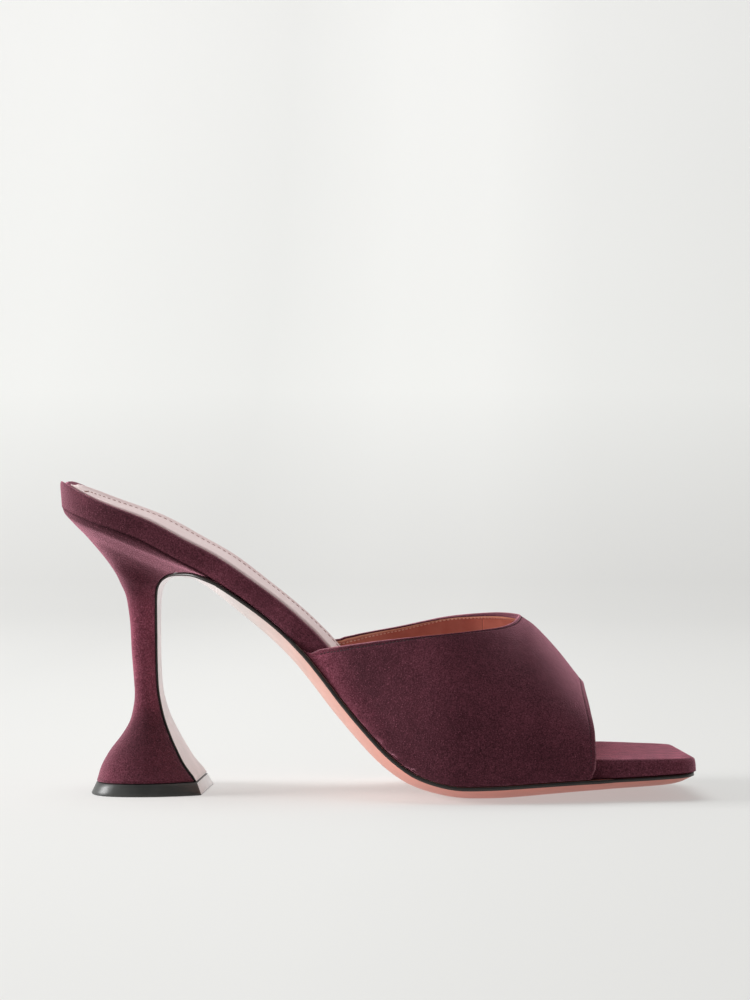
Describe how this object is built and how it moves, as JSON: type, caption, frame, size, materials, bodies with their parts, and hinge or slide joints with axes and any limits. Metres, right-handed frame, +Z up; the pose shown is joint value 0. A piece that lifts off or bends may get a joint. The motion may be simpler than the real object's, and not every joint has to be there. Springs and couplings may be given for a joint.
{
  "type": "heeled mule sandal",
  "caption": "Right-foot open-toe suede mule with a square toe, a wide vamp band, a pale leather sock and a flared heel.",
  "frame": {"origin": "middle of the shoe's extent on the floor", "axes": "+X towards the toe, +Y towards the inner side of the right foot, +Z up"},
  "size_m": [0.2086, 0.0828, 0.1021],
  "materials": {
    "suede_vamp": "matte suede nap",
    "suede_board": "matte suede nap",
    "suede_heel": "matte suede nap",
    "sock_leather": "smooth",
    "sole_leather": "satin",
    "lift_rubber": "satin"
  },
  "bodies": {
    "root": {"outsole": "sole_leather", "midsole": "suede_board", "insole": "sock_leather", "upper": "suede_vamp", "heel": "suede_heel", "top_lift": "lift_rubber"}
  },
  "joints": []
}
